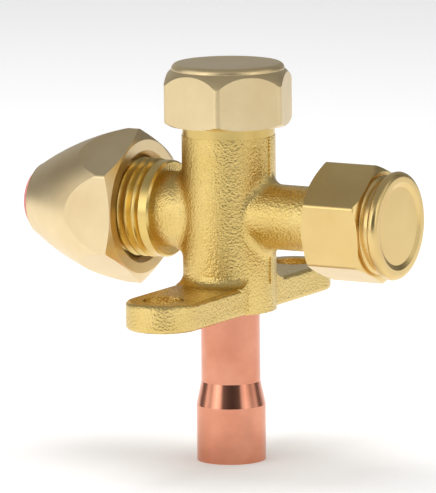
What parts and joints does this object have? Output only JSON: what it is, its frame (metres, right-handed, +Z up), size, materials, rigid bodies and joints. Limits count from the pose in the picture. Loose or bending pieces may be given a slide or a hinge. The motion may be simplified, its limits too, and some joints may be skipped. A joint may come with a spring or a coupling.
{
  "type": "refrigerant service valve",
  "caption": "Forged brass service valve with a capped stem, a flare port and nut, a capped charging port and a copper stub for brazing.",
  "frame": {"origin": "on the barrel's axis in the flange's bottom face, midway between the two bolt holes", "axes": "+Z up the barrel towards the stem cap, -X out of the flare port, +X out of the service port, the flange's ears along Y"},
  "size_m": [0.067, 0.054, 0.0642],
  "materials": {
    "forged_brass": "sand-blasted forging with turned threads",
    "cap_brass": "matte, fine sparkle grain",
    "nut_brass": "matte, fine grain",
    "service_cap_brass": "satin with fine machining marks",
    "stem_brass": "turned",
    "core_brass": "turned",
    "copper": "polished copper",
    "braze": "brazing alloy",
    "spring_steel": "drawn wire",
    "ring_steel": "stamped",
    "black_rubber": "matt",
    "seal_plastic": "fluoropolymer",
    "pink_plastic": "soft moulded"
  },
  "bodies": {
    "root": {"valve_body": "forged_brass", "copper_pipe": "copper", "braze_fillet": "braze", "stem_retaining_ring": "ring_steel", "core_body": "core_brass", "core_body_seal": "seal_plastic", "core_spring": "spring_steel"},
    "stem_cap_seal_body": {"stem_cap_seal": "seal_plastic"},
    "stem_cap_body": {"stem_cap": "cap_brass"},
    "flare_plug_body": {"flare_plug": "pink_plastic"},
    "flare_nut_body": {"flare_nut": "nut_brass"},
    "service_cap_seal_body": {"service_cap_seal": "black_rubber"},
    "service_cap_body": {"service_cap": "service_cap_brass"},
    "stem_rings_body": {"stem_o_ring": "black_rubber", "stem_backup_ring": "seal_plastic"},
    "stem_body": {"valve_stem": "stem_brass"},
    "core_pin_body": {"core_pin": "core_brass", "core_cup": "core_brass", "core_cup_seal": "black_rubber"}
  },
  "joints": [
    {"name": "stem_cap_travel", "type": "slide", "parent": "root", "child": "stem_cap_seal_body", "axis": [0, 0, 1], "range_m": [0, 0.008]},
    {"name": "stem_cap_turn", "type": "hinge", "parent": "stem_cap_seal_body", "child": "stem_cap_body", "pos_m": [0, 0, 0.033], "axis": [0, 0, 1], "range_deg": [0, 2880]},
    {"name": "flare_nut_travel", "type": "slide", "parent": "root", "child": "flare_plug_body", "axis": [-1, 0, 0], "range_m": [0, 0.0127]},
    {"name": "flare_nut_turn", "type": "hinge", "parent": "flare_plug_body", "child": "flare_nut_body", "pos_m": [-0.025, 0, 0.0154], "axis": [-1, 0, 0], "range_deg": [0, 3240]},
    {"name": "service_cap_travel", "type": "slide", "parent": "root", "child": "service_cap_seal_body", "axis": [1, 0, 0], "range_m": [0, 0.01143]},
    {"name": "service_cap_turn", "type": "hinge", "parent": "service_cap_seal_body", "child": "service_cap_body", "pos_m": [0.025, 0, 0.0154], "axis": [1, 0, 0], "range_deg": [0, 3240]},
    {"name": "stem_travel", "type": "slide", "parent": "root", "child": "stem_rings_body", "axis": [0, 0, 1], "range_m": [-0.004, 0]},
    {"name": "stem_turn", "type": "hinge", "parent": "stem_rings_body", "child": "stem_body", "pos_m": [0, 0, 0.025], "axis": [0, 0, 1], "range_deg": [-1440, 0]},
    {"name": "core_pin_press", "type": "slide", "parent": "root", "child": "core_pin_body", "axis": [1, 0, 0], "range_m": [-0.001, 0], "stiffness_N_per_m": 600, "springref_m": 0.0015, "deforming": ["core_spring"]}
  ],
  "couplings": [
    {"joint": "stem_cap_travel", "follows": "stem_cap_turn", "m_per_rad": 0.00015915},
    {"joint": "flare_nut_travel", "follows": "flare_nut_turn", "m_per_rad": 0.00022457},
    {"joint": "service_cap_travel", "follows": "service_cap_turn", "m_per_rad": 0.00020213},
    {"joint": "stem_turn", "follows": "stem_travel", "rad_per_m": 6283.2}
  ]
}
